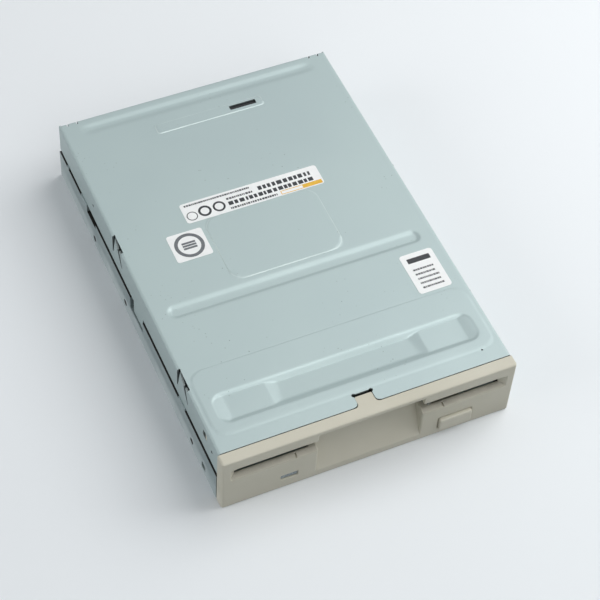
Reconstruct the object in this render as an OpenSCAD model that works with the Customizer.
// 3.5 inch floppy disk drive, one inch high: pressed steel case, moulded bezel and the
// whole loading, spindle and head mechanism inside. Millimetres, +Z up, +Y to the rear.
// Every module is written about a datum at the bezel's back face, on the floor, on the
// centre line. The last section moves the datum so that the origin is under the middle.

/* [Envelope] */
// Width across the chassis sides
drive_w = 101.6; // [101.6:0.2:104]
// Height from the floor to the cover's raised panels
drive_h = 25.4; // [25.4:0.1:27]
// Depth of the metal body behind the bezel
body_d = 146; // [140:0.5:156]

/* [Sheet metal] */
// Thickness of the top cover's steel
cover_t = 0.6; // [0.5:0.05:0.8]
// Thickness of the chassis steel
chassis_t = 1; // [0.8:0.1:1.2]
// How far the cover's skirts stand in from the chassis sides
skirt_inset = 0.4; // [0.2:0.1:0.4]
// Height of the skirts' lower edge above the floor
skirt_z = 13.8; // [13.4:0.1:14.6]
// Gap between the skirts and the chassis sides' top edge
seam_gap = 1.5; // [1:0.1:2]
// Height of the deck's underside above the floor
deck_z = 7.4; // [7.3:0.1:7.6]
// Width of the chassis's bottom flanges
flange_w = 8; // [6:0.5:9]

/* [Pressings in the cover] */
// Height of the raised panels
panel_rise = 0.2; // [0.1:0.05:0.3]
// Depth of the middle and rear beads
bead_depth = 1.1; // [0.6:0.1:1.3]
// Width of the middle bead at the cover's face
bead_w = 6.4; // [5:0.1:7]
// Depth of the front trough at its ends
trough_end_depth = 0.9; // [0.6:0.1:1.1]
// Depth of the front trough at its middle
trough_mid_depth = 1.8; // [1.3:0.1:2]
// Half length of the trough's deep middle part
trough_mid_half = 22.5; // [18:0.5:26]

/* [Bezel] */
// Thickness of the bezel plate, front to back
bezel_t = 4; // [3.6:0.1:5]
// Height of the bezel
bezel_h = 25; // [24.8:0.1:25.2]
// Radius of the bezel's front edges
bezel_edge_r = 0.9; // [0.5:0.1:1.2]
// Half width of the finger recess
recess_half = 18.2; // [14:0.2:20]
// Depth of the finger recess behind the bezel's face, at the disk slot
recess_d = 6.4; // [5.6:0.1:6.8]
// Height where the recess runs out in the bezel's face
recess_foot_z = 3.2; // [2.5:0.1:4.2]

/* [Eject button] */
// Width of the button
button_w = 11.6; // [9:0.1:12]
// Height of the button
button_h = 5.4; // [4.6:0.1:5.6]
// How far the button stands out of the bezel with no disk in
button_out = 1.2; // [0.8:0.1:2]
// Distance of the button's middle from the centre line
button_x = 30.5; // [30:0.1:31.5]
// Height of the button's middle above the floor
button_z = 6; // [5.8:0.1:6.2]

/* [Disk and loading] */
// Width of the disk cartridge
disk_w = 90; // [89:0.1:90.2]
// Thickness of the disk cartridge
disk_t = 3.3; // [3:0.1:3.4]
// Height of the cartridge's underside while it is pushed in
disk_z = 16; // [15.9:0.1:16.2]
// Travel of the eject slide from latched to disk loaded
eject_travel = 5; // [4:0.1:5.2]
// Drop of the disk holder from entry level to loaded
holder_drop = 3; // [2.6:0.1:3]
// Thickness of the holder and slide plate steel
mech_t = 0.8; // [0.7:0.05:0.9]
// Radius of the holder's guide pins
pin_r = 1; // [0.8:0.05:1.1]

/* [Spindle] */
// Distance of the spindle behind the bezel's back face
spindle_y = 47; // [46:0.5:48]
// Radius of the spindle hub
hub_r = 14; // [12:0.5:15]
// Radius of the spindle shaft
shaft_r = 2; // [1.5:0.1:2.5]
// Outer radius of the motor's rotor
rotor_r = 28; // [26:0.5:30]
// Number of stator poles
pole_count = 12; // [6:3:15]

/* [Heads and stepper] */
// Distance from the spindle to the heads at the outermost track
track_r = 39.5; // [38.5:0.5:40]
// Travel of the heads from the outermost track to the innermost
track_travel = 14.8; // [12:0.1:15]
// Radius of the carriage's guide rods
rod_r = 1.5; // [1.2:0.1:1.7]
// Radius of the lead screw
screw_r = 1.5; // [1.2:0.1:1.7]
// Height of the rods' and the screw's axes
rod_z = 11; // [10.9:0.1:11.2]
// Radius of the stepper motor's can
stepper_r = 7.5; // [6.5:0.1:7.6]
// Length of the stepper motor's can
stepper_l = 14; // [11:0.5:16]

/* [Boards and connectors] */
// Thickness of the circuit boards
board_t = 1.2; // [0.8:0.1:1.4]
// Pitch of the data header's pins
header_pitch = 2.54; // [2:0.01:2.54]
// Pins in each row of the data header
header_cols = 17; // [10:1:17]
// Pitch of the power socket's pins
power_pitch = 2.5; // [2:0.1:2.54]

/* [Mounting] */
// Radius of the tapped mounting holes
mount_r = 1.25; // [1:0.05:1.6]
// Height of the side holes above the floor
side_hole_z = 3.5; // [3.2:0.1:4]
// Distance of the front side hole behind the bezel's back face
side_hole_y = 21; // [20:0.5:22]
// Distance from the front side hole to the middle one
side_pitch_mid = 60; // [58:0.5:62]
// Distance from the front side hole to the rear one
side_pitch_rear = 90; // [88:0.5:92]
// Distance between the left and right bottom holes
bottom_pitch_x = 93; // [91:0.2:94]
// Distance of the front bottom holes behind the bezel's back face
bottom_hole_y = 31; // [29:0.5:34]
// Distance between the front and rear bottom holes
bottom_pitch_y = 60; // [55:0.5:64]

/* [Hidden] */
$fn = 48;
eps = 0.02;
// Clearances: a shaft in its bore, a sliding face, and a part that swings free
fit_gap = 0.04;
run_gap = 0.3;
free_gap = 0.4;

half_w = drive_w / 2;
cover_z = drive_h - panel_rise;
cover_half = half_w - skirt_inset;
wall_in = half_w - chassis_t;
deck_top = deck_z + chassis_t;
wall_z = skirt_z - seam_gap;
cover_front = 0.3;

// Loading levels and the nested side walls, from the disk outwards
holder_floor = disk_z - 0.4;
holder_ceiling = holder_floor + disk_t + 1.3;
holder_in = disk_w / 2 + 0.4;
holder_out = holder_in + mech_t;
slide_in = holder_out + free_gap;
slide_out = slide_in + mech_t;
guide_in = slide_out + free_gap;
guide_out = guide_in + chassis_t;
holder_y0 = 4.6;
holder_l = 91.4;
holder_y1 = holder_y0 + holder_l;
lip_y0 = 17;
lip_w = 7;
pin_ys = [27, 84];
pin_z = (holder_floor + holder_ceiling) / 2;
pin_slot = 2 * pin_r + 0.3;
slide_z = deck_top + run_gap;
slide_top = slide_z + mech_t;
slide_y0 = 21;
slide_bar_y1 = 29;
slide_y1 = holder_y1 + 1;
rail_in = 36;
spring_x = 33.4;
loaded_z = disk_z - holder_drop;
media_z = loaded_z + disk_t / 2;

// Slot in the bezel
slot_top = holder_ceiling;
slot_floor = holder_floor;
slot_half = holder_in + 0.6;
flare = 2;
sill_drop = 0.8;
lip_rise = 3.2;
lip_depth = 2;
tab_half = 3;
tab_y = 4;
led_x = -27.7;
led_z = 5.85;
led_w = 5.9;
led_h = 2.2;
button_gap = 0.3;
clip_lower_z = 3.1;
clip_upper_z = 20.8;
clip_h = 2.6;
clip_hook_y = 9.6;
clip_hook_l = 2.6;
clip_t = 1.2;

// Spindle motor levels, from the floor up
rotor_z = 1.3;
rotor_t = 0.8;
rotor_top = rotor_z + rotor_t + 3.1;
board_z = deck_z - 0.3 - board_t;
housing_r = 6;
housing_z0 = 3;
motor_screw_r = housing_r + 2.8;
housing_flange_r = motor_screw_r + 2.6;
housing_z1 = deck_top + 2.6;
hub_z = loaded_z;
hub_t = 1.6;
magnet_t = 2.4;
stator_r = rotor_r - 0.8 - magnet_t - free_gap;
stator_in = housing_r + fit_gap;
stator_z0 = rotor_z + rotor_t + 0.9;
stator_z1 = rotor_top - 0.2;

// Head carriage, at the outermost track
head_y = spindle_y + track_r;
main_rod_x = -14;
side_rod_x = 9.5;
// The stepper's bracket is set from the rear; the rods and the arm's pivot end in front of it
stepper_room = 27;
bracket_y = body_d - stepper_room;
bracket_t = 1.2;
rod_y0 = spindle_y + 19;
rod_y1 = bracket_y - 1.4;
clamp_l = 3;
screw_x = 16;
screw_y0 = rod_y0 + 0.4;
stepper_y = bracket_y + bracket_t;
carriage_z0 = deck_top + 0.6;
carriage_z1 = loaded_z - 0.4;
arm_pivot_y = bracket_y - 7;
carriage_tail = arm_pivot_y - head_y;
carriage_half = 5.5;
bush_y0 = head_y + 6;
bush_y1 = arm_pivot_y - 3.5;
bush_r = rod_r + 0.7;
side_bush_l = 6;
side_bush_y0 = (bush_y0 + bush_y1) / 2 - 1 - side_bush_l / 2;
flag_l = 4;
flag_y = bush_y1 - 1 - flag_l / 2;
flag_t = 0.8;
flag_x = main_rod_x - 8.6;
follower_l = 3.6;
post_half = 2.4;
ribbon_y = arm_pivot_y + post_half;
arm_pivot_z = 17;
arm_z = holder_ceiling + mech_t;
arm_t = 1;
arm_half = 4.6;
arm_pin_r = 1;
// The arm's wing, on the right of the carriage's posts, and the holder's lug below it
wing_in = arm_half + 3;
wing_out = arm_half + 4.8;
wing_y = [head_y + 9.5, arm_pivot_y + 1.6];
lug_y = [holder_y1 + 0.4, holder_y1 + 3.6];

// Trigger lever on the disk holder
lever_x = -36;
lever_y = 88;
lever_reach = 24;
lever_rest = -14.5;
lever_z = holder_ceiling + mech_t + run_gap;
lever_t = mech_t;
post_r = 1.6;

// Boards at the rear and the connectors on them
main_board_z = 1.5;
main_board_top = main_board_z + board_t;
motor_board_y0 = 5;
motor_board_y1 = spindle_y + 44;
motor_board_half = wall_in - 3.6;
main_board_y0 = motor_board_y1 + 3;
standoff_r = 2.4;
header_x = -14;
header_y = body_d - 10;
power_x = 28;
switch_y = 10;
switch_xs = [-40, 40, -33];
switch_top = loaded_z - 0.9;
plunger_r = 1.1;
plunger_rise = 1.9;
screw_head_r = 2.4;
screw_head_t = 0.9;
screw_shank_r = 1.2;
// The main board covers the opening between the bottom flanges; its screws pass inside them
flange_in = half_w - flange_w;
main_board_half = flange_in + 1.2;
standoff_x = flange_in - screw_head_r - free_gap;
standoffs = [for (x = [-standoff_x, standoff_x], y = [main_board_y0 + 5, body_d - 7]) [x, y]];

cover_colour = "LightSteelBlue";
steel_colour = "Silver";
dark_steel_colour = "DimGray";
bezel_colour = "BlanchedAlmond";
black_plastic_colour = [0.12, 0.12, 0.13];
white_plastic_colour = "Ivory";
board_colour = "DarkGreen";
brass_colour = "Goldenrod";
copper_colour = "Peru";
magnet_colour = [0.25, 0.25, 0.27];
amber_colour = "DarkGoldenrod";

// A block between two corners
module block(x0, x1, y0, y1, z0, z1) {
    translate([x0, y0, z0]) cube([x1 - x0, y1 - y0, z1 - z0]);
}

// Round bars along each axis
module bar_x(r, x0, x1, y, z) {
    translate([x0, y, z]) rotate([0, 90, 0]) cylinder(r = r, h = x1 - x0);
}

module bar_y(r, y0, y1, x, z) {
    translate([x, y1, z]) rotate([90, 0, 0]) cylinder(r = r, h = y1 - y0);
}

module bar_z(r, z0, z1, x, y) {
    translate([x, y, z0]) cylinder(r = r, h = z1 - z0);
}

// A child and its mirror image on the other side of the centre line
module both_sides() {
    children();
    mirror([1, 0, 0]) children();
}

// A YZ outline carried from x0 to x1
module along_x(x0, x1) {
    translate([x0, 0, 0]) rotate([90, 0, 90]) linear_extrude(x1 - x0) children();
}

// A flat plate with round corners
module round_plate(x0, x1, y0, y1, z0, z1, r) {
    block(x0 + r, x1 - r, y0, y1, z0, z1);
    block(x0, x1, y0 + r, y1 - r, z0, z1);
    for (x = [x0 + r, x1 - r], y = [y0 + r, y1 - r]) bar_z(r, z0, z1, x, y);
}

// A round-cornered pressing that narrows from its outline at z0 by inset at z1
module pressing(x0, x1, y0, y1, z0, z1, r, inset) {
    low = min(z0, z1);
    rise = abs(z1 - z0);
    up = z1 > z0;
    module corner(x, y) {
        translate([x, y, low]) cylinder(r1 = up ? r : r - inset, r2 = up ? r - inset : r, h = rise);
    }
    for (x = [x0 + r, x1 - r], y = [y0 + r, y1 - r]) corner(x, y);
    along_x(x0 + r, x1 - r) polygon([[y0, z0], [y1, z0], [y1 - inset, z1], [y0 + inset, z1]]);
    translate([0, y1 - r, 0]) rotate([90, 0, 0]) linear_extrude(y1 - y0 - 2 * r)
        polygon([[x0, z0], [x1, z0], [x1 - inset, z1], [x0 + inset, z1]]);
}

// A sunk pressing in the cover: its wall below the sheet, and the hollow in its top
module sunk_wall(x0, x1, y0, y1, depth, r, inset) {
    t = cover_t;
    pressing(x0 - t, x1 + t, y0 - t, y1 + t, cover_z - t / 2, cover_z - depth - t, r + t, inset);
}

module sunk_hollow(x0, x1, y0, y1, depth, r, inset) {
    pressing(x0, x1, y0, y1, cover_z, cover_z - depth, r, inset);
    round_plate(x0, x1, y0, y1, cover_z - eps, cover_z + 1, r);
}

// A slot with round ends between two points of a YZ plane, cut from x0 to x1
module slot_yz(x0, x1, a, b, width) {
    run = norm(b - a);
    lean = atan2(b[1] - a[1], b[0] - a[0]);
    flat = 0.995 * width;
    for (p = [a, b]) bar_x(width / 2, x0, x1, p[0], p[1]);
    translate([x0, a[0], a[1]]) rotate([lean, 0, 0])
        translate([0, 0, -flat / 2]) cube([x1 - x0, run, flat]);
}

// A vector of length one, and the part of v that lies across u
function unit(v) = v / norm(v);
function across(v, u) = unit(v - (v * u) * u);

// A round wire swept along a list of points; its rings keep their turn from point to point
module wire(points, r, sides = 6) {
    last = len(points) - 1;
    u = [for (i = [0 : last]) unit(points[min(i + 1, last)] - points[max(i - 1, 0)])];
    first = across(abs(u[0][2]) > 0.9 ? [1, 0, 0] : [0, 0, 1], u[0]);
    carried = [for (i = 0, n = first; i <= last; i = i + 1, n = across(n, u[min(i, last)])) n];
    rings = [for (i = [0 : last])
        let (n = across(carried[i], u[i]), b = cross(u[i], n))
        for (j = [0 : sides - 1]) points[i] + r * (cos(360 * j / sides) * n + sin(360 * j / sides) * b)];
    walls = [for (i = [0 : last - 1], j = [0 : sides - 1])
        let (k = (j + 1) % sides, a = i * sides, b = a + sides)
        each [[a + j, b + k, a + k], [a + j, b + j, b + k]]];
    end = last * sides;
    caps = [for (j = [1 : sides - 2]) each [[0, j, j + 1], [end, end + j + 1, end + j]]];
    polyhedron(points = rings, faces = concat(walls, caps));
}

// Case

// Outer sheet of the cover, before its holes
skirt_tab_y = [65, 73.6];
skirt_tab_z = 7.6;
tongue_ys = [[26.4, 33.4], [85, 92.2]];
tongue_z = 20.2;
slit = 0.7;
gauge_r = 0.6;
rear_flange_half = 43.8;
rear_flange_z = 17.4;
rear_slot = [7.9, 17.8, body_d - 14.9, body_d - 13];
rear_panel_y = [body_d - 16.2, body_d - 12];
rear_panel_x = [-19.6, 20.2];
mid_panel_half = 20.2;
mid_panel_y = [60.4, 88.2];
front_panel_half = cover_half - 2;
front_panel_y = [5.8, 31.4];
panel_r = 5;
trough_x = 44.8;
trough_y = [9.9, 20.9];
trough_r = 3.6;
trough_ramp = 4.8;
bead_y = 55.7;
bead_half = 45.3;
rear_bead_y = [body_d - 7.6, body_d - 2.6];
rear_bead_r = 2.4;
rear_bead_half = 44.4;

module cover_sheet() {
    block(-cover_half, cover_half, cover_front, body_d, cover_z - cover_t, cover_z);
    both_sides() {
        block(cover_half - cover_t, cover_half, cover_front, body_d, skirt_z, cover_z);
        block(cover_half - cover_t, cover_half, skirt_tab_y[0], skirt_tab_y[1], skirt_tab_z, cover_z);
        block(rear_flange_half + 4, cover_half, body_d - cover_t, body_d, rear_flange_z + 3, cover_z);
    }
    block(-rear_flange_half, rear_flange_half, body_d - cover_t, body_d, rear_flange_z, cover_z);
}

// The trough's deep middle: its floor leans down to the rear, and a ramp closes each end
module trough_middle(grow) {
    front = (trough_end_depth + trough_mid_depth) / 2;
    top = cover_z - (grow > 0 ? grow / 2 : -1);
    long = trough_mid_half + trough_ramp * trough_mid_depth + grow;
    intersection() {
        along_x(-trough_x, trough_x) polygon([
            [trough_y[0] - grow, top], [trough_y[0] - grow, cover_z],
            [trough_y[0] + front - grow, cover_z - front - grow],
            [trough_y[1] - trough_mid_depth + grow, cover_z - trough_mid_depth - grow],
            [trough_y[1] + grow, cover_z], [trough_y[1] + grow, top]
        ]);
        translate([0, trough_y[1] + 2, 0]) rotate([90, 0, 0])
        linear_extrude(trough_y[1] - trough_y[0] + 4) polygon([
            [-long, top], [-long, cover_z], [-trough_mid_half - grow, cover_z - trough_mid_depth - grow],
            [trough_mid_half + grow, cover_z - trough_mid_depth - grow], [long, cover_z], [long, top]
        ]);
    }
}

module cover_pressings(hollow) {
    module sunk(x0, x1, y0, y1, depth, r, inset) {
        if (hollow) sunk_hollow(x0, x1, y0, y1, depth, r, inset);
        else sunk_wall(x0, x1, y0, y1, depth, r, inset);
    }
    sunk(-trough_x, trough_x, trough_y[0], trough_y[1], trough_end_depth, trough_r, trough_end_depth);
    trough_middle(hollow ? 0 : cover_t);
    sunk(-bead_half, bead_half, bead_y - bead_w / 2, bead_y + bead_w / 2,
         bead_depth, bead_w / 2 - 0.05, 1.5 * bead_depth);
    sunk(-rear_bead_half, rear_bead_half, rear_bead_y[0], rear_bead_y[1],
         bead_depth, rear_bead_r, 1.5 * bead_depth);
}

module raised_panels(drop) {
    translate([0, 0, -drop]) {
        pressing(-mid_panel_half, mid_panel_half, mid_panel_y[0], mid_panel_y[1],
                 cover_z - eps, drive_h, panel_r, panel_rise);
        pressing(rear_panel_x[0], rear_panel_x[1], rear_panel_y[0], rear_panel_y[1],
                 cover_z - eps, drive_h, 1, panel_rise);
        pressing(-front_panel_half, front_panel_half, front_panel_y[0], front_panel_y[1],
                 cover_z - eps, cover_z + panel_rise / 2, panel_r, panel_rise / 2);
    }
}

module cover_cuts() {
    // Notch for the bezel's tab, with round relief corners
    block(-tab_half - 0.1, tab_half + 0.1, -1, tab_y + 0.9, cover_z - 2, drive_h + 1);
    for (x = [-tab_half, tab_half]) bar_z(0.7, cover_z - 2, drive_h + 1, x, tab_y + 0.6);
    block(rear_slot[0], rear_slot[1], rear_slot[2], rear_slot[3], cover_z - 3, drive_h + 1);
    both_sides() {
        // Spring tongues, cut free at the top and both edges
        for (t = tongue_ys) {
            for (y = [t[0], t[1] - slit])
                block(cover_half - 1.2, half_w + 1, y, y + slit, tongue_z, drive_h + 1);
            block(cover_half - 1, half_w + 1, t[0], t[1], cover_z - 0.7, drive_h + 1);
        }
        // Catch for the bezel's upper clip, and two small gauge holes
        block(cover_half - 2, half_w + 1, clip_hook_y - 0.2, clip_hook_y + clip_hook_l + 0.2,
              clip_upper_z - clip_h / 2 - 0.1, clip_upper_z + clip_h / 2 + 0.1);
        bar_x(gauge_r, cover_half - 2, half_w + 1, 5.4, 19.2);
        bar_x(gauge_r, cover_half - 2, half_w + 1, body_d - 34.2, 19.9);
        // Bend relief at the rear corners
        for (x = [rear_flange_half, rear_flange_half + 3.4])
            block(x, x + 0.6, body_d - 1.4, body_d + 1, cover_z - 2, drive_h + 1);
    }
}

module top_cover() {
    color(cover_colour) difference() {
        union() {
            difference() {
                union() {
                    cover_sheet();
                    raised_panels(0);
                }
                raised_panels(cover_t + eps);
            }
            cover_pressings(false);
        }
        cover_pressings(true);
        cover_cuts();
    }
}

ribbon_x = [-11, -3];

// Chassis: side walls with bottom flanges, the deck, and the tabs bent up from it
bridge_ys = [[27, 32.4], [body_d - 28, body_d - 22.2], [body_d - 9.4, body_d - 8.2]];
wall_notch_y = [body_d - 36.6, body_d - 28];
button_bay = [button_x - button_w / 2 - 1.4, button_x + button_w / 2 + 1];
button_bay_y = 14;
window_x = [screw_x - stepper_r - 0.6, screw_x + stepper_r + 0.6];
window_y = [stepper_y - 0.3, stepper_y + stepper_l + 1.6];
guide_half = 5;
spring_post_y = 60;
rear_wall_half = cover_half - cover_t - 0.3;
header_half = header_cols * header_pitch / 2;

module chassis_wall() {
    difference() {
        union() {
            block(wall_in, half_w, 0.6, body_d, 0, wall_z);
            block(flange_in, half_w, 0.6, body_d, 0, chassis_t);
            for (b = bridge_ys) block(wall_in, half_w, b[0], b[1], 0, skirt_z - 0.3);
        }
        block(wall_in - 1, half_w + 1, skirt_tab_y[0] - 0.5, skirt_tab_y[1] + 2.4,
              skirt_tab_z - 0.6, wall_z + 1);
        block(wall_in - 1, half_w + 1, wall_notch_y[0], wall_notch_y[1], wall_z - 2, wall_z + 1);
        block(wall_in - 1, half_w + 1, clip_hook_y - 0.2, clip_hook_y + clip_hook_l + 0.2,
              clip_lower_z - clip_h / 2 - 0.1, clip_lower_z + clip_h / 2 + 0.1);
        for (y = [0, side_pitch_mid, side_pitch_rear])
            bar_x(mount_r, wall_in - 1, half_w + 1, side_hole_y + y, side_hole_z);
        for (y = [0, bottom_pitch_y])
            bar_z(mount_r, -1, chassis_t + 1, bottom_pitch_x / 2, bottom_hole_y + y);
    }
}

// A tab with an upright slot that keeps one holder pin from moving front to back
module guide_tab(y) {
    difference() {
        block(guide_in, guide_out, y - guide_half, y + guide_half, deck_z, holder_ceiling + 0.4);
        slot_yz(guide_in - 1, guide_out + 1, [y, pin_z - holder_drop - 0.2], [y, pin_z + 0.2], pin_slot);
    }
}

module chassis() {
    color(steel_colour) difference() {
        union() {
            both_sides() {
                chassis_wall();
                for (y = pin_ys) guide_tab(y);
                bar_z(spring_post_r, deck_z, deck_top + 4, spring_x, spring_post_y);
            }
            block(-wall_in - eps, wall_in + eps, 1.4, body_d - 3, deck_z, deck_top);
            block(-rear_wall_half, rear_wall_half, body_d - 2.2, body_d - 1.2,
                  wall_z - 0.4, rear_flange_z - 0.4);
            both_sides() block(wall_in - 4, wall_in + eps, body_d - 3.2, body_d - 1.2, deck_z, wall_z);
            for (p = standoffs) bar_z(standoff_r, main_board_top, deck_z + eps, p[0], p[1]);
        }
        bar_z(housing_r + fit_gap, deck_z - 1, deck_top + 1, 0, spindle_y);
        for (a = [30, 150, 270])
            bar_z(screw_shank_r + fit_gap, deck_z - 1, deck_top + 1,
                  motor_screw_r * cos(a), spindle_y + motor_screw_r * sin(a));
        block(button_bay[0], button_bay[1], 0, button_bay_y, deck_z - 1, deck_top + 1);
        block(window_x[0], window_x[1], window_y[0], window_y[1], deck_z - 1, deck_top + 1);
        for (x = switch_xs) block(x - 3.2, x + 3.2, switch_y - 2.4, switch_y + 2.4, deck_z - 1, deck_top + 1);
        block(ribbon_x[0] - 1, ribbon_x[1] + 1, ribbon_y + 4.2, ribbon_y + 8, deck_z - 1, deck_top + 1);
        // Notches above the connectors, and room for the cover's side tabs
        block(header_x - header_half - 1, header_x + header_half + 1, header_y - 5, body_d - 2.6,
              deck_z - 1, deck_top + 1);
        block(power_x - power_half - 0.8, power_x + power_half + 0.8, body_d - 12, body_d - 2.6,
              deck_z - 1, deck_top + 2);
        both_sides() block(cover_half - cover_t - 0.2, half_w, skirt_tab_y[0] - 0.5, skirt_tab_y[1] + 2.4,
                           skirt_tab_z - 0.6, deck_top + 1);
        for (p = standoffs) bar_z(screw_shank_r + fit_gap, main_board_top - 1, deck_z - 1.4, p[0], p[1]);
    }
}

// Bezel

recess_back = recess_d - bezel_t;
recess_run = [recess_d, slot_floor - recess_foot_z];
recess_wall = 1.5;

// The plate's outline in one plane, round at the two front corners
module front_rounded(w0, w1, r) {
    translate([-bezel_t + r, w0]) square([bezel_t - r, w1 - w0]);
    translate([-bezel_t, w0 + r]) square([r, w1 - w0 - 2 * r]);
    for (w = [w0 + r, w1 - r]) translate([-bezel_t + r, w]) circle(r);
}

module bezel_plate() {
    intersection() {
        along_x(-half_w, half_w) front_rounded(0, bezel_h, bezel_edge_r);
        linear_extrude(bezel_h) rotate(90) mirror([0, 1]) front_rounded(-half_w, half_w, bezel_edge_r);
    }
}

// The flared mouth of the disk slot: a sloping sill and two slanting cheeks
module slot_cut() {
    front = -bezel_t - 1;
    intersection() {
        along_x(-half_w, half_w) polygon([
            [front, slot_floor - sill_drop - sill_drop / flare], [-bezel_t + flare, slot_floor],
            [1, slot_floor], [1, slot_top], [front, slot_top]
        ]);
        linear_extrude(drive_h) polygon([
            [-slot_half - flare - 1, front], [slot_half + flare + 1, front], [slot_half, -bezel_t + flare],
            [slot_half, 1], [-slot_half, 1], [-slot_half, -bezel_t + flare]
        ]);
    }
}

// The finger recess: a wall that leans back from the bezel's foot to the slot
module recess_cut() {
    slope = recess_run[0] / recess_run[1];
    along_x(-recess_half, recess_half) polygon([
        [-bezel_t - slope, recess_foot_z - 1], [recess_back, slot_floor],
        [recess_back + 9, slot_floor], [recess_back + 9, slot_top], [-bezel_t - slope, slot_top]
    ]);
    along_x(-recess_half, recess_half) polygon([
        [-bezel_t - 1, slot_top + lip_rise * (1 + 1 / lip_depth)], [-bezel_t + lip_depth, slot_top],
        [-bezel_t - 1, slot_top - 1]
    ]);
}

// The bucket behind the plate that closes the recess
module recess_bucket() {
    half = recess_half + recess_wall;
    rear = recess_back + recess_wall;
    low = slot_floor - recess_run[1] * rear / recess_run[0] - recess_wall;
    along_x(-half, half) polygon([
        [-eps, low], [rear, slot_floor - recess_wall], [rear, slot_floor - eps], [-eps, slot_floor - eps]
    ]);
}

// A clip arm behind the plate, with a hook that snaps into the case's side
module clip_arm(z) {
    inner = wall_in - 0.2 - clip_t;
    block(inner, wall_in - 0.2, -eps, clip_hook_y + clip_hook_l, z - clip_h / 2, z + clip_h / 2);
    along_z(z - clip_h / 2, z + clip_h / 2) polygon([
        [wall_in - 0.3, clip_hook_y], [half_w - skirt_inset, clip_hook_y],
        [wall_in - 0.2, clip_hook_y + clip_hook_l], [wall_in - 0.3, clip_hook_y + clip_hook_l]
    ]);
}

// An XY outline carried from z0 to z1
module along_z(z0, z1) {
    translate([0, 0, z0]) linear_extrude(z1 - z0) children();
}

sill_groove_x = [25.3, 25.9];
pocket_d = 1.9;
pocket_x = [recess_half + recess_wall + 1, half_w - 3.4];
pocket_z = [1.8, slot_floor + 0.2];

module bezel_pockets() {
    both_sides() block(pocket_x[0], pocket_x[1], -pocket_d, 1, pocket_z[0], pocket_z[1]);
}

module bezel() {
    button_half = [button_w / 2 + button_gap, button_h / 2 + button_gap];
    color(bezel_colour) difference() {
        union() {
            difference() {
                bezel_plate();
                bezel_pockets();
            }
            block(button_x - button_half[0] - 1, button_x + button_half[0] + 1, -bezel_t + 1, 1,
                  button_z - button_half[1] - 1, button_z + button_half[1] + 1);
            block(led_x - led_w / 2 - 1, led_x + led_w / 2 + 1, -bezel_t + 1, 0,
                  led_z - led_h / 2 - 1, led_z + led_h / 2 + 1);
            recess_bucket();
            both_sides() {
                clip_arm(clip_lower_z);
                clip_arm(clip_upper_z);
            }
            block(-tab_half, tab_half, -eps, tab_y, bezel_h - 1.2, bezel_h);
        }
        slot_cut();
        recess_cut();
        round_hole_y(button_x, button_z, button_half, 0.4);
        block(led_x - led_w / 2, led_x + led_w / 2, -bezel_t - 1, 2, led_z - led_h / 2, led_z + led_h / 2);
        both_sides() block(sill_groove_x[0], sill_groove_x[1], -bezel_t - 1, -bezel_t + flare - 0.3,
                           slot_floor - 1.6, slot_floor + 1);
    }
}

// A hole with small round corners, through the bezel from front to back
module round_hole_y(x, z, half, r) {
    translate([0, 3, 0]) rotate([90, 0, 0])
        round_plate(x - half[0], x + half[0], z - half[1], z + half[1], 0, bezel_t + 6, r);
}

// The indicator lamp: its lens fills the window, and a collar stops it behind
module led_lamp() {
    lens = [led_w / 2 - 0.1, led_h / 2 - 0.1];
    color("SlateGray") {
        block(led_x - lens[0], led_x + lens[0], -bezel_t + 0.5, 1, led_z - lens[1], led_z + lens[1]);
        block(led_x - lens[0] - 0.6, led_x + lens[0] + 0.6, 0.05, 3,
              led_z - lens[1] - 0.3, led_z + lens[1] + 0.3);
        for (x = [-1.27, 1.27]) {
            block(led_x + x - 0.25, led_x + x + 0.25, 2.9, 6.6, led_z - 0.7, led_z - 0.2);
            block(led_x + x - 0.25, led_x + x + 0.25, 6.1, 6.6, led_z - 0.7, board_z);
        }
    }
}

// Loading mechanism

// The eject button: a soft-edged cap on a shank that clips to the slide's tongue
tongue_tab_y = 7;
button_bevel = 0.7;

module eject_button() {
    half = [button_w / 2, button_h / 2];
    front = -bezel_t - button_out;
    color(bezel_colour) {
        translate([0, front + 1, 0]) rotate([90, 0, 0])
            pressing(button_x - half[0], button_x + half[0], button_z - half[1], button_z + half[1],
                     0, 1, 1, button_bevel);
        translate([0, 0.6, 0]) rotate([90, 0, 0])
            round_plate(button_x - half[0], button_x + half[0], button_z - half[1], button_z + half[1],
                        0, 0.6 - front - 1, 0.5);
        block(button_x - half[0] + 1, button_x + half[0] - 1, 0.5, tongue_tab_y,
              button_z - 1.8, button_z + 1.6);
    }
}

// One side wall of the slide, with the two sloping slots that lift the holder
module slide_wall() {
    ear = [-4, eject_travel + 4];
    difference() {
        union() {
            block(slide_in, slide_out, slide_y0, slide_y1, slide_z, slide_top + 2.4);
            for (y = pin_ys) block(slide_in, slide_out, y + ear[0], y + ear[1], slide_z, pin_z + 2.6);
        }
        for (y = pin_ys)
            slot_yz(slide_in - 1, slide_out + 1,
                    [y, pin_z], [y + eject_travel, pin_z - holder_drop], pin_slot);
    }
}

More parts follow.
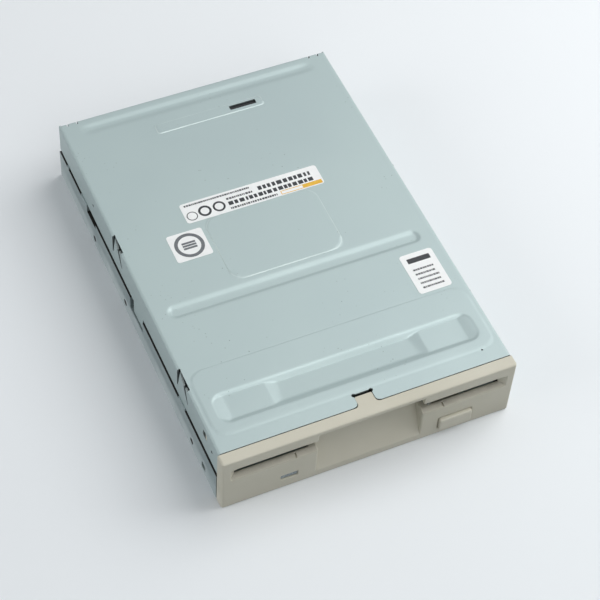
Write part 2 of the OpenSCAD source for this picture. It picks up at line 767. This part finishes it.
module slide_plate() {
    tongue_half = button_w / 2 - 1;
    color(steel_colour) difference() {
        union() {
            both_sides() {
                block(rail_in, slide_out, slide_y0, slide_y1, slide_z, slide_top);
                slide_wall();
                // Hook that the return spring pulls on
                block(spring_x - 1.2, rail_in + eps, spring_hook_y - 1.8, spring_hook_y + 1.6,
                      slide_z, slide_top);
                bar_z(spring_hook_r, slide_z, slide_top + 2.6, spring_x, spring_hook_y);
            }
            block(-slide_out, slide_out, slide_y0, slide_bar_y1, slide_z, slide_top);
            block(button_x - tongue_half, button_x + tongue_half, tongue_tab_y, slide_y0 + eps,
                  slide_z, slide_top);
            block(button_x - tongue_half, button_x + tongue_half, tongue_tab_y, tongue_tab_y + mech_t,
                  button_z - 2, slide_top);
        }
        for (x = [-20, 20]) bar_z(3, slide_z - 1, slide_top + 1, x, (slide_y0 + slide_bar_y1) / 2);
    }
}

// Two tension springs that pull the slide forward, between a deck post and the slide's hook
coil_r = 1.3;
spring_hook_y = 91.8;
spring_hook_r = 0.9;
spring_post_r = 1;
coil_wire_r = 0.25;
coil_turns = 11;
coil_rings = 8;

module eject_spring(x) {
    y0 = spring_post_y + spring_post_r + 0.05;
    y1 = spring_hook_y - spring_hook_r - 0.05;
    coil_y0 = y0 + 2.4;
    coil_y1 = y1 - 2.4;
    axis_z = slide_top + 1.2;
    count = coil_turns * coil_rings;
    coil = [for (i = [0 : count])
        let (a = 360 * i / coil_rings, y = coil_y0 + (coil_y1 - coil_y0) * i / count)
        [x + coil_r * sin(a), y, axis_z + coil_r * cos(a)]];
    path = concat([[x, y0, axis_z], [x, y0 + 0.8, axis_z]], coil, [[x, y1 - 0.8, axis_z], [x, y1, axis_z]]);
    wire(path, coil_wire_r);
}

module eject_springs() {
    color(steel_colour) for (x = [-spring_x, spring_x]) eject_spring(x);
}

// The disk holder: a shallow cage, open at the front, the rear and along its underside
module disk_holder() {
    top0 = holder_ceiling;
    top1 = holder_ceiling + mech_t;
    color(steel_colour) difference() {
        union() {
            block(-holder_out, holder_out, holder_y0, holder_y1, top0, top1);
            both_sides() {
                block(holder_in, holder_out, holder_y0, holder_y1, holder_floor - mech_t, top1);
                block(holder_in - lip_w, holder_out, lip_y0, holder_y1 - 4,
                      holder_floor - mech_t, holder_floor);
            }
            // Lug that carries the upper arm's wing while the holder is up
            block(wing_out + free_gap, wing_out + 6, lug_y[0] - 2, lug_y[1], top0 - run_gap, top1 - run_gap);
            block(wing_in, wing_out + 6, lug_y[0], lug_y[1], top0 - run_gap, top1 - run_gap);
        }
        // Room for the heads, the hub and the lever's nose
        block(lever_x + lever_reach * cos(lever_rest) - 4, wing_out + 0.6,
              spindle_y + 15.4, holder_y1 + 0.01, top0 - 1, top1 + 1);
        bar_z(hub_r + 3, top0 - 1, top1 + 1, 0, spindle_y);
        both_sides() round_plate(24, 38, 30, 74, top0 - 1, top1 + 1, 3);
        bar_z(post_r + fit_gap, top0 - 1, top1 + 1, lever_x, lever_y);
        both_sides() for (y = pin_ys) bar_x(pin_r, holder_in - 1, holder_out + 1, y, pin_z);
    }
}

module holder_pins() {
    color(dark_steel_colour) both_sides() for (y = pin_ys)
        bar_x(pin_r - eps, holder_in + 0.1, guide_out - 0.2, y, pin_z);
}

// Rivet that the trigger lever turns on
module lever_post() {
    top = lever_z + lever_t + 1.5;
    color(dark_steel_colour) {
        bar_z(post_r, holder_ceiling + 0.05, top, lever_x, lever_y);
        bar_z(post_r + 0.9, top, top + 0.5, lever_x, lever_y);
    }
}

module trigger_lever() {
    bore = post_r + fit_gap;
    color(white_plastic_colour) translate([lever_x, lever_y, 0]) rotate(lever_rest) difference() {
        union() {
            bar_z(4, lever_z, lever_z + lever_t, 0, 0);
            block(0, lever_reach, -2, 2, lever_z, lever_z + lever_t);
            bar_z(2, lever_z, lever_z + lever_t, lever_reach, 0);
            bar_z(1.2, disk_z + 0.6, lever_z + eps, lever_reach, 0);
            block(-8.4, 0, -1.6, 1.6, lever_z, lever_z + lever_t);
        }
        bar_z(bore, lever_z - 1, lever_z + 2, 0, 0);
    }
}

// Torsion spring round the lever's rivet
module trigger_spring() {
    r = 2.6;
    wire_r = 0.2;
    z0 = lever_z + lever_t + wire_r + 0.05;
    turns = 2;
    count = turns * 12;
    coil = [for (i = [0 : count]) let (a = 30 * i) [
        lever_x + r * cos(a), lever_y + r * sin(a), z0 + (1.4 - 2 * wire_r) * i / count * 0.75]];
    color(steel_colour) wire(coil, wire_r);
}

// Spindle motor

module bearing_housing() {
    color(brass_colour) translate([0, spindle_y, 0]) difference() {
        union() {
            bar_z(housing_r, housing_z0, housing_z1, 0, 0);
            bar_z(housing_flange_r, deck_top, deck_top + 1, 0, 0);
        }
        bar_z(shaft_r + fit_gap, housing_z0 - 1, housing_z1 + 1, 0, 0);
        for (a = [30, 150, 270])
            bar_z(screw_shank_r + fit_gap, deck_top - 1, deck_top + 2,
                  motor_screw_r * cos(a), motor_screw_r * sin(a));
    }
}

module stator_core() {
    color(dark_steel_colour) translate([0, spindle_y, 0]) difference() {
        union() {
            bar_z(stator_in + 2.4, stator_z0, stator_z1, 0, 0);
            for (i = [0 : pole_count - 1]) rotate(360 * i / pole_count) {
                block(stator_in + 1, stator_r - 1, -0.9, 0.9, stator_z0 + 0.4, stator_z1 - 0.4);
                intersection() {
                    bar_z(stator_r, stator_z0, stator_z1, 0, 0);
                    block(stator_r - 1.6, stator_r + 1, -2.6, 2.6, stator_z0, stator_z1);
                }
            }
        }
        bar_z(stator_in, stator_z0 - 1, stator_z1 + 1, 0, 0);
    }
}

// Windings, one on each pole
module stator_coils() {
    z0 = stator_z0 + 0.1;
    z1 = stator_z1 - 0.1;
    inner = stator_in + 3;
    color(copper_colour) translate([0, spindle_y, 0])
        for (i = [0 : pole_count - 1]) rotate(360 * i / pole_count) difference() {
            round_plate(inner, stator_r - 2.2, -1.5, 1.5, z0, z1, 0.5);
            block(inner - 1, stator_r, -0.92, 0.92, z0 + 0.28, z1 - 0.28);
        }
}

module motor_board() {
    color(board_colour) difference() {
        block(-motor_board_half, motor_board_half, motor_board_y0, motor_board_y1,
              board_z, board_z + board_t);
        bar_z(housing_r + 0.4, board_z - 1, board_z + board_t + 1, 0, spindle_y);
        block(button_bay[0] - 1, button_bay[1] + 1, 0, button_bay_y, board_z - 1, board_z + board_t + 1);
        for (a = [30, 150, 270])
            bar_z(screw_shank_r + 0.2, board_z - 1, board_z + board_t + 1,
                  motor_screw_r * cos(a), spindle_y + motor_screw_r * sin(a));
    }
}

// Driver chip for the spindle motor, on the board's underside
module driver_chip() {
    size = [12, 7];
    pitch = 1.27;
    pin = [0.4, 1.2];
    x0 = motor_board_half - 17.2;
    y0 = spindle_y + 25;
    color(black_plastic_colour) {
        block(x0, x0 + size[0], y0, y0 + size[1], board_z - 2, board_z - 0.2);
        for (i = [0 : 8], y = [y0 - pin[1], y0 + size[1] - eps])
            translate([x0 + 0.8 + pitch * i, y, board_z - 0.7]) cube([pin[0], pin[1] + eps, 0.7]);
    }
}

// A pan-head screw with a cross recess: the head is above z, the shank below
module pan_screw(z, shank) {
    difference() {
        union() {
            bar_z(screw_head_r, z, z + screw_head_t, 0, 0);
            bar_z(screw_shank_r, z - shank, z + eps, 0, 0);
        }
        for (a = [0, 90]) rotate(a) block(-1.4, 1.4, -0.3, 0.3, z + 0.4, z + screw_head_t + 1);
    }
}

module motor_screws() {
    color(dark_steel_colour) translate([0, spindle_y, 0]) for (a = [30, 150, 270])
        translate([motor_screw_r * cos(a), motor_screw_r * sin(a), 0])
            pan_screw(deck_top + 1, 3.4);
}

// Sensor on the board beside the rotor that sees one mark a turn
module index_sensor() {
    color(black_plastic_colour)
        block(rotor_r + 1.4, rotor_r + 5, spindle_y - 2.2, spindle_y + 2.2, board_z - 1.8, board_z);
}

module spindle_shaft() {
    color(steel_colour) bar_z(shaft_r, rotor_z, hub_z + 1.4, 0, spindle_y);
}

module spindle_hub() {
    color(brass_colour) translate([0, spindle_y, 0]) difference() {
        union() {
            bar_z(hub_r, hub_z - hub_t, hub_z - 0.2, 0, 0);
            bar_z(shaft_r + 2.2, hub_z - hub_t, hub_z, 0, 0);
            difference() {
                bar_z(hub_r, hub_z - hub_t, hub_z, 0, 0);
                bar_z(hub_r - 1.6, hub_z - hub_t - 1, hub_z + 1, 0, 0);
            }
        }
        bar_z(shaft_r + eps, hub_z - hub_t - 1, hub_z + 1, 0, 0);
        rotate(-40) bar_z(1.3, hub_z - hub_t - 1, hub_z + 1, 0.68 * hub_r, 0);
        difference() {
            bar_z(0.56 * hub_r, hub_z - 0.8, hub_z + 1, 0, 0);
            bar_z(shaft_r + 2.2, hub_z - 1, hub_z + 2, 0, 0);
        }
    }
}

// Pin that drops into the disk's hub and carries it round
module drive_pin() {
    color(steel_colour) translate([0, spindle_y, 0]) rotate(-40)
        bar_z(1.25, hub_z - hub_t, hub_z + 1.1, 0.68 * hub_r, 0);
}

// Ring magnet that holds the disk's steel hub down
module hub_magnet() {
    color(magnet_colour) translate([0, spindle_y, 0]) difference() {
        bar_z(0.56 * hub_r - 0.05, hub_z - 0.8, hub_z - 0.1, 0, 0);
        bar_z(shaft_r + 2.3, hub_z - 1, hub_z + 1, 0, 0);
    }
}

module rotor_cup() {
    color(steel_colour) translate([0, spindle_y, 0]) difference() {
        union() {
            bar_z(rotor_r, rotor_z, rotor_top, 0, 0);
        }
        difference() {
            bar_z(rotor_r - 0.8, rotor_z + rotor_t, rotor_top + 1, 0, 0);
            bar_z(shaft_r + 2, rotor_z, housing_z0 - 0.2, 0, 0);
        }
        bar_z(shaft_r + eps, rotor_z - 1, rotor_top + 1, 0, 0);
        for (a = [0 : 60 : 300]) rotate(a) bar_z(2.2, rotor_z - 1, rotor_z + rotor_t + 1, 0.5 * rotor_r, 0);
    }
}

module rotor_magnet() {
    outer = rotor_r - 0.8 - 0.02;
    color(magnet_colour) translate([0, spindle_y, 0]) difference() {
        bar_z(outer, rotor_z + rotor_t, rotor_top - 0.2, 0, 0);
        bar_z(outer - magnet_t, rotor_z, rotor_top + 1, 0, 0);
    }
}

// Heads

module guide_rods() {
    color(steel_colour) for (x = [main_rod_x, side_rod_x]) bar_y(rod_r, rod_y0, rod_y1, x, rod_z);
}

// Saddles that carry the rods' ends on the deck
module rod_clamps() {
    color(dark_steel_colour) for (x = [main_rod_x, side_rod_x], y = [rod_y0, rod_y1 - clamp_l])
        difference() {
            block(x - rod_r - 1.2, x + rod_r + 1.2, y, y + clamp_l, deck_top, rod_z + rod_r + 0.3);
            bar_y(rod_r + eps, y - 1, y + clamp_l + 1, x, rod_z);
        }
}

// The carriage runs on both rods, carries the lower head and ends in the arm's two posts
module head_carriage() {
    post_x = [arm_half + 0.4, arm_half + 2.4];
    color(black_plastic_colour) difference() {
        union() {
            block(-carriage_half, carriage_half, head_y - 5, ribbon_y, carriage_z0, carriage_z1);
            block(main_rod_x, 0.5 - carriage_half, bush_y0, bush_y1, carriage_z0 + 0.4, carriage_z1 - 0.2);
            bar_y(bush_r, bush_y0, bush_y1, main_rod_x, rod_z);
            block(carriage_half - 0.5, side_rod_x - rod_r - 0.4, side_bush_y0, side_bush_y0 + side_bush_l,
                  carriage_z0 + 0.4, carriage_z1 - 0.2);
            bar_y(bush_r, side_bush_y0, side_bush_y0 + side_bush_l, side_rod_x, rod_z);
            both_sides() block(post_x[0], post_x[1], arm_pivot_y - post_half, ribbon_y,
                               carriage_z0, arm_pivot_z + 1.9);
            block(-post_x[1], post_x[1], arm_pivot_y - post_half, ribbon_y, carriage_z0, carriage_z1);
            // Flag for the track sensor
            block(flag_x, main_rod_x - bush_r + 0.4, flag_y - flag_l / 2, flag_y + flag_l / 2,
                  rod_z - flag_t / 2, rod_z + flag_t / 2);
        }
        bar_y(rod_r + fit_gap, bush_y0 - 1, bush_y1 + 1, main_rod_x, rod_z);
        bar_y(rod_r + fit_gap, side_bush_y0 - 1, side_bush_y0 + side_bush_l + 1, side_rod_x, rod_z);
        bar_x(arm_pin_r + eps, -post_x[1] - 1, post_x[1] + 1, arm_pivot_y, arm_pivot_z);
        block(-3, 3, head_y + 0.35 * carriage_tail, head_y + 0.75 * carriage_tail,
              carriage_z0 + 1, carriage_z1 + 1);
    }
}

module lower_head() {
    color(white_plastic_colour) {
        block(-3.6, 3.6, head_y - 3, head_y + 3, carriage_z1, media_z - 0.3);
        for (x = [-2, 2]) block(x - 0.9, x + 0.9, head_y - 2.6, head_y + 2.6, media_z - 0.4, media_z - 0.05);
    }
}

// Arm from the carriage to the lead screw, ending in a half nut that rides its thread
module screw_follower() {
    y0 = side_bush_y0 + 2;
    z0 = rod_z - 0.9;
    color(white_plastic_colour) difference() {
        union() {
            block(side_rod_x + rod_r + 1.1, screw_x - screw_r + 0.2, y0, y0 + follower_l, z0, z0 + 1.8);
            block(screw_x - screw_r - 1, screw_x, y0, y0 + follower_l,
                  rod_z - screw_r - 0.8, rod_z + screw_r + 0.8);
        }
        bar_y(screw_r + 0.08, y0 - 1, y0 + follower_l + 1, screw_x, rod_z);
    }
}

module arm_pin() {
    half = arm_half + 2.6;
    color(steel_colour) bar_x(arm_pin_r, -half, half, arm_pivot_y, arm_pivot_z);
}

// The upper arm in its raised pose, held by the holder's lug
module upper_arm() {
    ear_x = [arm_half - 1.4, arm_half];
    color(black_plastic_colour) difference() {
        union() {
            block(-arm_half, arm_half, head_y - 4, arm_pivot_y + 1.6, arm_z, arm_z + arm_t);
            block(-1, 1, head_y, arm_pivot_y, arm_z + arm_t - eps, arm_z + arm_t + 0.8);
            block(arm_half - eps, wing_out, wing_y[0], wing_y[1], arm_z, arm_z + arm_t);
            both_sides() {
                block(ear_x[0], ear_x[1], arm_pivot_y - 1.8, arm_pivot_y + 1.6, arm_pivot_z, arm_z + eps);
                bar_x(1.8, ear_x[0], ear_x[1], arm_pivot_y, arm_pivot_z);
            }
        }
        bar_x(arm_pin_r + fit_gap, -arm_half - 1, arm_half + 1, arm_pivot_y, arm_pivot_z);
    }
}

module upper_head() {
    color(white_plastic_colour) {
        block(-3.2, 3.2, head_y - 2.8, head_y + 2.8, arm_z - 0.8, arm_z);
        for (x = [-1.8, 1.8])
            block(x - 0.8, x + 0.8, head_y - 2.4, head_y + 2.4, arm_z - 1.2, arm_z - 0.8 + eps);
    }
}

// Leaf spring along the arm's back that presses the head on the disk
module arm_spring() {
    color(steel_colour) for (x = [-2.6, 2.6])
        block(x - 0.8, x + 0.8, head_y + 4, arm_pivot_y + 1, arm_z + arm_t, arm_z + arm_t + 0.25);
}

// Stepper

stepper_screw = [stepper_r + 1, 3.4];

module stepper_bracket() {
    half = stepper_r + 3;
    foot = 5;
    color(steel_colour) difference() {
        union() {
            block(screw_x - half, screw_x + half, bracket_y, bracket_y + bracket_t,
                  deck_top, rod_z + stepper_r);
            block(window_x[1] + 0.2, screw_x + half + foot, bracket_y, bracket_y + 9,
                  deck_top, deck_top + bracket_t);
            block(screw_x + half - 1, screw_x + half + foot, bracket_y, bracket_y + bracket_t,
                  deck_top, deck_top + 6);
        }
        bar_y(screw_r + 0.6, bracket_y - 1, bracket_y + bracket_t + 1, screw_x, rod_z);
        for (x = [-1, 1])
            bar_y(screw_shank_r + fit_gap, bracket_y - 1, bracket_y + bracket_t + 1,
                  screw_x + x * stepper_screw[0], rod_z + stepper_screw[1]);
        bar_z(screw_shank_r + fit_gap, deck_top - 1, deck_top + 2, screw_x + half + 3, bracket_y + 5);
    }
}

module stepper_motor() {
    color(dark_steel_colour) difference() {
        union() {
            bar_y(stepper_r, stepper_y, stepper_y + stepper_l, screw_x, rod_z);
            bar_y(3, stepper_y + stepper_l - eps, stepper_y + stepper_l + 1, screw_x, rod_z);
        }
        bar_y(screw_r + 0.5, stepper_y - 1, stepper_y + stepper_l - 1, screw_x, rod_z);
        difference() {
            bar_y(stepper_r + 1, stepper_y + stepper_l / 2 - 0.3, stepper_y + stepper_l / 2 + 0.3,
                  screw_x, rod_z);
            bar_y(stepper_r - 0.4, stepper_y, stepper_y + stepper_l, screw_x, rod_z);
        }
    }
}

// Screws through the bracket beside the can
module stepper_screws() {
    color(dark_steel_colour) for (x = [-1, 1])
        translate([screw_x + x * stepper_screw[0], bracket_y, rod_z + stepper_screw[1]])
        rotate([90, 0, 0]) pan_screw(0, bracket_t);
}

module lead_screw() {
    color(brass_colour) {
        bar_y(screw_r, screw_y0 + 2.4, stepper_y + stepper_l - 1.4, screw_x, rod_z);
        bar_y(screw_r * 0.6, screw_y0 + 0.6, screw_y0 + 2.5, screw_x, rod_z);
    }
}

// Pivot bearing at the screw's front end
module screw_bearing() {
    color(white_plastic_colour) difference() {
        block(screw_x - 3, screw_x + 3, screw_y0 - 1.4, screw_y0 + 2, deck_top, rod_z + 2.4);
        bar_y(screw_r * 0.6 + fit_gap, screw_y0, screw_y0 + 3, screw_x, rod_z);
    }
}

// Slotted light gate that sees the carriage's flag at the outermost track
module track_sensor() {
    wall = 2;
    x0 = flag_x - 2.4 - wall;
    x1 = flag_x + 3.2;
    half = flag_l / 2 + 2;
    color(black_plastic_colour) difference() {
        block(x0, x1, flag_y - half, flag_y + half, deck_top, rod_z + 4);
        block(x0 + wall, x1 + 1, flag_y - half - 1, flag_y + half + 1, rod_z - 1.4, rod_z + 1.6);
    }
}

// Switches

module switch_bodies() {
    color(black_plastic_colour) for (x = switch_xs) difference() {
        block(x - 3, x + 3, switch_y - 2.2, switch_y + 2.2, board_z + board_t, switch_top);
        bar_z(plunger_r + fit_gap, switch_top - 3.2, switch_top + 1, x, switch_y);
    }
}

module plunger(x) {
    color(white_plastic_colour) bar_z(plunger_r, switch_top - 1.4, switch_top + plunger_rise, x, switch_y);
}

module density_plunger() { plunger(switch_xs[0]); }

module write_plunger() { plunger(switch_xs[1]); }

module disk_plunger() { plunger(switch_xs[2]); }

// Boards and connectors

module main_board() {
    color(board_colour) difference() {
        block(-main_board_half, main_board_half, main_board_y0, body_d - 1, main_board_z, main_board_top);
        for (p = standoffs) bar_z(screw_shank_r + 0.2, main_board_z - 1, main_board_top + 1, p[0], p[1]);
    }
}

module board_screws() {
    color(dark_steel_colour) for (p = standoffs)
        translate([p[0], p[1], main_board_z]) rotate([180, 0, 0]) pan_screw(0, board_t + 2.4);
}

module controller_chip() {
    side = 14;
    pads = 11;
    pitch = side / (pads + 1);
    pad = [0.2, 1.2, 0.6];
    x0 = 16 - main_board_half;
    y0 = (main_board_y0 + header_y) / 2 - 2 - side / 2;
    color(black_plastic_colour) {
        block(x0, x0 + side, y0, y0 + side, main_board_top + 0.2, main_board_top + 2.2);
        for (i = [1 : pads], edge = [-pad[1], side - eps]) {
            translate([x0 + i * pitch - pad[0], y0 + edge, main_board_top])
                cube([2 * pad[0], pad[1] + eps, pad[2]]);
            translate([x0 + edge, y0 + i * pitch - pad[0], main_board_top])
                cube([pad[1] + eps, 2 * pad[0], pad[2]]);
        }
    }
}

// Small parts on the main board: chip resistors, two can capacitors and a crystal
module board_parts() {
    resistor = [1.6, 1, 0.6];
    can_r = 2;
    crystal = [5, 3, 1.6];
    resistors_y = main_board_y0 + 10;
    cans_x = 8 - main_board_half;
    color(amber_colour) {
        for (i = [0 : 5]) translate([-6 + 3 * i, resistors_y, main_board_top]) cube(resistor);
        for (x = [cans_x, cans_x + 2.3 * can_r])
            bar_z(can_r, main_board_top, main_board_top + 4, x, header_y - 7);
        translate([main_board_half - 10, main_board_y0 + 18, main_board_top]) cube(crystal);
    }
}

// Right-angle pin header for the data cable
header_rows = [0, 1];
header_pin = 0.64;
header_base_z = main_board_top + 0.3;

module data_header() {
    color(black_plastic_colour) difference() {
        block(header_x - header_half, header_x + header_half, header_y, header_y + 2.5,
              header_base_z, header_base_z + 2 * header_pitch);
        for (i = [0 : header_cols - 1], r = header_rows)
            header_pin_run(i, r, header_y - 1, header_y + 4, 0.02);
    }
}

// The straight run of one pin between two distances from the front
module header_pin_run(i, row, y0, y1, grow) {
    x = header_x + (i - (header_cols - 1) / 2) * header_pitch;
    z = header_base_z + (row + 0.5) * header_pitch;
    half = header_pin / 2 + grow;
    block(x - half, x + half, y0, y1, z - half, z + half);
}

module data_pins() {
    color(brass_colour) for (i = [0 : header_cols - 1], r = header_rows) {
        foot = header_y - 1.2 - r * header_pitch;
        x = header_x + (i - (header_cols - 1) / 2) * header_pitch;
        z = header_base_z + (r + 0.5) * header_pitch;
        half = header_pin / 2;
        header_pin_run(i, r, foot - half, header_y + 8.6, 0);
        block(x - half, x + half, foot - half, foot + half, main_board_top, z + half);
    }
}

// Small power socket: a shroud open to the rear, with a key rib slot
power_half = 2 * power_pitch + 1.4;
power_pin_z = 3.4;

module power_socket() {
    y0 = body_d - 9.4;
    z0 = main_board_top;
    color(white_plastic_colour) difference() {
        block(power_x - power_half, power_x + power_half, y0, body_d - 0.6, z0, z0 + 7);
        block(power_x - power_half + 1, power_x + power_half - 1, y0 + 2, body_d, z0 + 1, z0 + 6.2);
        block(power_x - 3, power_x + 3, y0 + 2, body_d, z0 + 5, z0 + 8);
        for (i = [0 : 3]) power_pin_run(i, y0 - 1, y0 + 3, 0.02);
    }
}

module power_pin_run(i, y0, y1, grow) {
    x = power_x + (i - 1.5) * power_pitch;
    z = main_board_top + power_pin_z;
    half = header_pin / 2 + grow;
    block(x - half, x + half, y0, y1, z - half, z + half);
}

module power_pins() {
    y0 = body_d - 9.4;
    half = header_pin / 2;
    color(brass_colour) for (i = [0 : 3]) {
        x = power_x + (i - 1.5) * power_pitch;
        power_pin_run(i, y0 - 1.6, body_d - 2, 0);
        block(x - half, x + half, y0 - 1.6, y0 - 1.6 + header_pin,
              main_board_top, main_board_top + power_pin_z + half);
    }
}

// Flat cables

// A flat strip of thickness t carried along YZ points, from x0 to x1
module strip(x0, x1, points, t) {
    last = len(points) - 1;
    run = [for (i = [0 : last]) unit(points[min(i + 1, last)] - points[max(i - 1, 0)])];
    upper = [for (i = [last : -1 : 0]) points[i] + t * [-run[i][1], run[i][0]]];
    along_x(x0, x1) polygon(concat(points, upper));
}

// From the carriage's tail down through the deck to the main board
module head_ribbon() {
    color(amber_colour) strip(ribbon_x[0], ribbon_x[1], [
        [ribbon_y + 0.1, carriage_z0 + 1.4], [ribbon_y + 4.6, carriage_z0 + 1.6],
        [ribbon_y + 6.2, deck_top - 2], [ribbon_y + 6.4, main_board_top + 0.4]
    ], 0.2);
}

// From the motor board back to the main board
module motor_ribbon() {
    color(amber_colour) strip(-8, 8, [
        [motor_board_y1 - 3, board_z - 0.3], [motor_board_y1 + 2, board_z - 0.5],
        [main_board_y0 + 2.4, main_board_top + 1], [main_board_y0 + 4, main_board_top + 0.2]
    ], 0.2);
}

// The origin lies on the floor, under the middle of the whole drive
datum_y = (bezel_t + button_out - body_d) / 2;

module placed() {
    translate([0, datum_y, 0]) children();
}

placed() top_cover();
placed() chassis();
placed() bezel();
placed() led_lamp();
placed() eject_button();
placed() slide_plate();
placed() eject_springs();
placed() disk_holder();
placed() holder_pins();
placed() lever_post();
placed() trigger_lever();
placed() trigger_spring();
placed() bearing_housing();
placed() stator_core();
placed() stator_coils();
placed() motor_board();
placed() motor_screws();
placed() driver_chip();
placed() index_sensor();
placed() spindle_shaft();
placed() spindle_hub();
placed() drive_pin();
placed() hub_magnet();
placed() rotor_cup();
placed() rotor_magnet();
placed() guide_rods();
placed() rod_clamps();
placed() head_carriage();
placed() lower_head();
placed() screw_follower();
placed() arm_pin();
placed() upper_arm();
placed() upper_head();
placed() arm_spring();
placed() stepper_bracket();
placed() stepper_motor();
placed() stepper_screws();
placed() lead_screw();
placed() screw_bearing();
placed() track_sensor();
placed() switch_bodies();
placed() write_plunger();
placed() density_plunger();
placed() disk_plunger();
placed() main_board();
placed() board_screws();
placed() controller_chip();
placed() board_parts();
placed() data_header();
placed() data_pins();
placed() power_socket();
placed() power_pins();
placed() head_ribbon();
placed() motor_ribbon();
